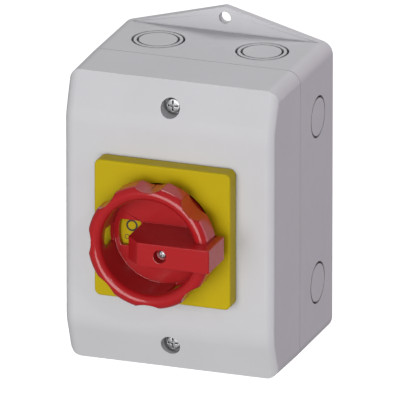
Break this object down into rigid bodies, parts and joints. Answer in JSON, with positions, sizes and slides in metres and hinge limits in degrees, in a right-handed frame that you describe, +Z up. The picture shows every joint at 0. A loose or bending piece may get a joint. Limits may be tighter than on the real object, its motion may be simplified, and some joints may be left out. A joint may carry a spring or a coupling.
{
  "type": "rotary isolator switch",
  "caption": "Wall-mounted rotary isolator: grey enclosure with lift-off cover, yellow front plate, red scalloped ring knob with a pointer bar, and a cam-driven contact block inside.",
  "frame": {"origin": "centre of the flat back face that rests on the wall", "axes": "+Y into the wall, -Y towards the user, +Z up, +X to the right as seen from the front"},
  "size_m": [0.105, 0.1206, 0.1688],
  "materials": {
    "grey_plastic": "fine satin moulding grain",
    "yellow_plastic": "smooth satin moulding",
    "red_plastic": "smooth semi-gloss moulding",
    "black_plastic": "matt thermoset",
    "cream_plastic": "satin moulding",
    "seal_rubber": "matt",
    "zinc_steel": "zinc plated",
    "spring_steel": "bright drawn",
    "copper": "copper strip, lightly tarnished",
    "brass": "turned"
  },
  "bodies": {
    "housing": {"rear_housing": "grey_plastic", "switch_base": "black_plastic", "switch_cap": "black_plastic", "cap_screw_left": "zinc_steel", "cap_screw_right": "zinc_steel", "switch_mount_screw_left": "zinc_steel", "switch_mount_screw_right": "zinc_steel", "detent_ball_left": "spring_steel", "detent_ball_right": "spring_steel", "detent_spring_left": "spring_steel", "detent_spring_right": "spring_steel", "detent_plug_left": "brass", "detent_plug_right": "brass", "fixed_contact_line_1": "copper", "fixed_contact_line_2": "copper", "fixed_contact_line_3": "copper", "fixed_contact_load_1": "copper", "fixed_contact_load_2": "copper", "fixed_contact_load_3": "copper", "terminal_clamp_line_1": "zinc_steel", "terminal_clamp_line_2": "zinc_steel", "terminal_clamp_line_3": "zinc_steel", "terminal_clamp_load_1": "zinc_steel", "terminal_clamp_load_2": "zinc_steel", "terminal_clamp_load_3": "zinc_steel", "terminal_screw_line_1": "zinc_steel", "terminal_screw_line_2": "zinc_steel", "terminal_screw_line_3": "zinc_steel", "terminal_screw_load_1": "zinc_steel", "terminal_screw_load_2": "zinc_steel", "terminal_screw_load_3": "zinc_steel", "earth_terminal": "brass", "earth_screw": "zinc_steel", "neutral_terminal": "brass", "neutral_screw": "zinc_steel"},
    "cover": {"front_cover": "grey_plastic", "cover_gasket": "seal_rubber", "cover_screw_top": "zinc_steel", "cover_screw_bottom": "zinc_steel", "front_plate": "yellow_plastic", "plate_gasket": "seal_rubber", "shaft_seal": "seal_rubber", "plate_screw_top_left": "zinc_steel", "plate_screw_top_right": "zinc_steel", "plate_screw_bottom_left": "zinc_steel", "plate_screw_bottom_right": "zinc_steel"},
    "handle": {"knob": "red_plastic", "knob_hub": "black_plastic", "knob_screw": "zinc_steel", "knob_retaining_ring": "zinc_steel"},
    "rotor": {"shaft": "zinc_steel", "rotor_cam": "cream_plastic"},
    "carrier": {"contact_carrier": "cream_plastic", "contact_bridge_1": "copper", "contact_bridge_2": "copper", "contact_bridge_3": "copper", "contact_spring_1": "spring_steel", "contact_spring_2": "spring_steel", "contact_spring_3": "spring_steel"}
  },
  "joints": [
    {"name": "cover_lift_off", "type": "slide", "parent": "housing", "child": "cover", "axis": [0, -1, 0], "range_m": [0, 0.11]},
    {"name": "handle_turn", "type": "hinge", "parent": "cover", "child": "handle", "pos_m": [0, -0.09, 0], "axis": [0, 1, 0], "range_deg": [0, 90]},
    {"name": "rotor_turn", "type": "hinge", "parent": "housing", "child": "rotor", "pos_m": [0, -0.045, 0], "axis": [0, 1, 0], "range_deg": [0, 90]},
    {"name": "carrier_slide", "type": "slide", "parent": "housing", "child": "carrier", "axis": [0, 1, 0], "range_m": [0, 0.00401]}
  ],
  "couplings": [
    {"joint": "rotor_turn", "follows": "handle_turn", "ratio": 1},
    {"joint": "carrier_slide", "follows": "handle_turn", "m_per_rad": 0.0025465}
  ]
}
